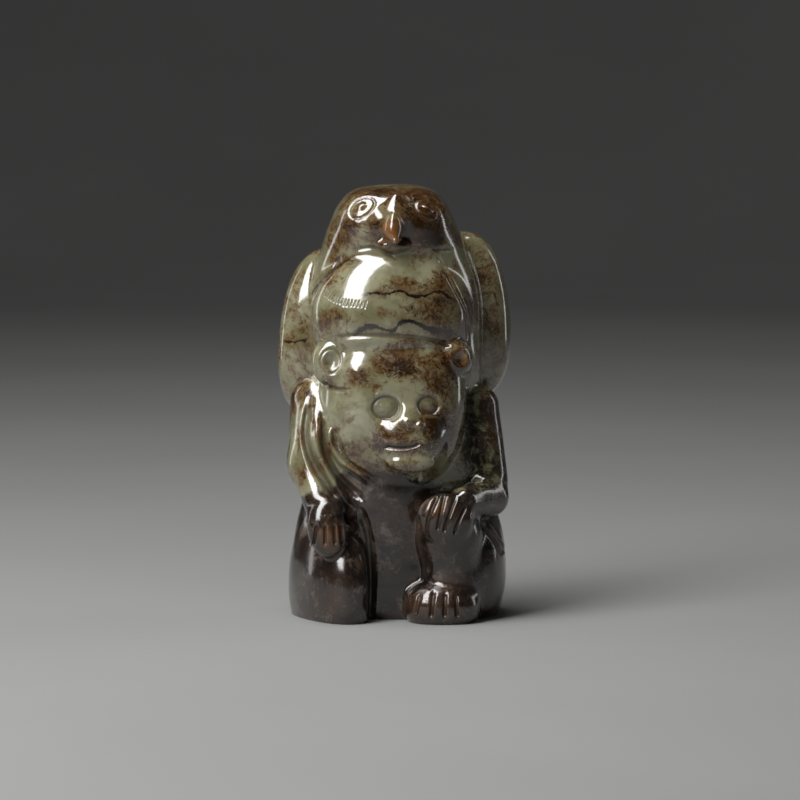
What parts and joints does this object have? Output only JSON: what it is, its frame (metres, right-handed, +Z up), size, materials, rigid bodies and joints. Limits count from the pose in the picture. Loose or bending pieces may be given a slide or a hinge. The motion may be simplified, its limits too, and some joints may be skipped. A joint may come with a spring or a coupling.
{
  "type": "jade carving",
  "caption": "Small polished jade figure of a seated bear with a bird standing on its head, wings spread at both sides, for standing on a shelf or holding in the hand.",
  "frame": {"origin": "on the ground, under the middle of the carving's outline", "axes": "+Z up; the faces of the bear and the bird look along -Y; +X is to the viewer's right"},
  "size_m": [0.0366, 0.0264, 0.0665],
  "materials": {
    "mottled_jade": "polished, mottled green, russet and dark brown"
  },
  "bodies": {
    "root": {"bear_and_bird_carving": "mottled_jade"}
  },
  "joints": []
}
